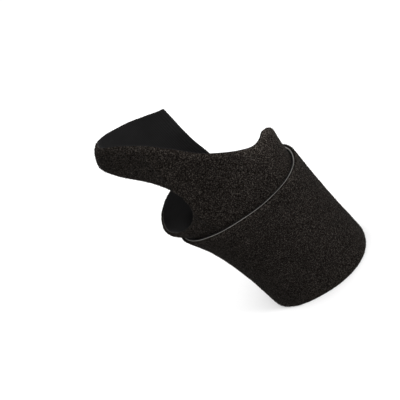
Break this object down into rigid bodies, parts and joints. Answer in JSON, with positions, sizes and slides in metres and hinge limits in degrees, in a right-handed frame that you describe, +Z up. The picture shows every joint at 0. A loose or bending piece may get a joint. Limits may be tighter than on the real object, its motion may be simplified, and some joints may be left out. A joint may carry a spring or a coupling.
{
  "type": "wrist support brace",
  "caption": "Left-hand wrist wrap of foam-cored loop laminate with a thumb hole: two turns round the wrist, closed by a hook-tape flap on the back.",
  "frame": {"origin": "under the middle of the whole brace, on the plane of its wrist-end rim", "axes": "+Z up the forearm to the fingers, -Y the palm side, +Y the back of the hand, -X the thumb side, +X the little-finger side"},
  "size_m": [0.093, 0.066, 0.1524],
  "materials": {
    "loop_face": "black brushed loop-pile knit, matt, speckled",
    "foam_core": "dark grey foam rubber, matt, seen as a thin line at the cut edges",
    "lining": "black smooth jersey lining, matt",
    "hook_tape": "black woven hook tape",
    "thread": "black twisted sewing thread"
  },
  "bodies": {
    "brace": {"lining_thumb_base": "lining", "foam_core_thumb_base": "foam_core", "loop_face_thumb_base": "loop_face", "lining_thumb_strap": "lining", "foam_core_thumb_strap": "foam_core", "loop_face_thumb_strap": "loop_face", "lining_palm": "lining", "foam_core_palm": "foam_core", "loop_face_palm": "loop_face", "lining_little_finger_side": "lining", "foam_core_little_finger_side": "foam_core", "loop_face_little_finger_side": "loop_face"},
    "start_flap": {"lining_start_flap": "lining", "foam_core_start_flap": "foam_core", "loop_face_start_flap": "loop_face"},
    "back_panel": {"lining_back": "lining", "foam_core_back": "foam_core", "loop_face_back": "loop_face"},
    "outer_thumb_side": {"lining_outer_thumb_side": "lining", "foam_core_outer_thumb_side": "foam_core", "loop_face_outer_thumb_side": "loop_face"},
    "outer_palm": {"lining_outer_palm": "lining", "foam_core_outer_palm": "foam_core", "loop_face_outer_palm": "loop_face"},
    "outer_ulnar_front": {"lining_outer_ulnar_front": "lining", "foam_core_outer_ulnar_front": "foam_core", "loop_face_outer_ulnar_front": "loop_face"},
    "outer_ulnar_back": {"lining_outer_ulnar_back": "lining", "foam_core_outer_ulnar_back": "foam_core", "loop_face_outer_ulnar_back": "loop_face"},
    "closure_flap": {"lining_closure_flap": "lining", "foam_core_closure_flap": "foam_core", "loop_face_closure_flap": "loop_face", "hook_tape": "hook_tape", "closure_thread": "thread"}
  },
  "joints": [
    {"name": "start_flap_lift", "type": "hinge", "parent": "brace", "child": "start_flap", "pos_m": [-0.01192, 0.02176, 0.038], "axis": [0, 0, 1], "range_deg": [0, 12]},
    {"name": "unwind_back", "type": "hinge", "parent": "brace", "child": "back_panel", "pos_m": [0.02808, 0.01955, 0.038], "axis": [0, 0, -1], "range_deg": [0, 16]},
    {"name": "unwind_thumb_side", "type": "hinge", "parent": "back_panel", "child": "outer_thumb_side", "pos_m": [-0.00592, 0.0264, 0.038], "axis": [0, 0, -1], "range_deg": [0, 80]},
    {"name": "unwind_palm", "type": "hinge", "parent": "outer_thumb_side", "child": "outer_palm", "pos_m": [-0.00592, -0.03248, 0.038], "axis": [0, 0, -1], "range_deg": [0, 80]},
    {"name": "unwind_ulnar_front", "type": "hinge", "parent": "outer_palm", "child": "outer_ulnar_front", "pos_m": [0.02808, -0.03066, 0.038], "axis": [0, 0, -1], "range_deg": [0, 80]},
    {"name": "unwind_ulnar_back", "type": "hinge", "parent": "outer_ulnar_front", "child": "outer_ulnar_back", "pos_m": [0.04668, -0.00304, 0.038], "axis": [0, 0, -1], "range_deg": [0, 80]},
    {"name": "closure_peel", "type": "hinge", "parent": "outer_ulnar_back", "child": "closure_flap", "pos_m": [0.02808, 0.02434, 0.038], "axis": [0, 0, -1], "range_deg": [0, 140]}
  ],
  "couplings": [
    {"joint": "start_flap_lift", "follows": "unwind_thumb_side", "ratio": 0.15},
    {"joint": "unwind_back", "follows": "unwind_thumb_side", "ratio": 0.2},
    {"joint": "unwind_palm", "follows": "unwind_thumb_side", "ratio": 1},
    {"joint": "unwind_ulnar_front", "follows": "unwind_thumb_side", "ratio": 1},
    {"joint": "unwind_ulnar_back", "follows": "unwind_thumb_side", "ratio": 1}
  ]
}
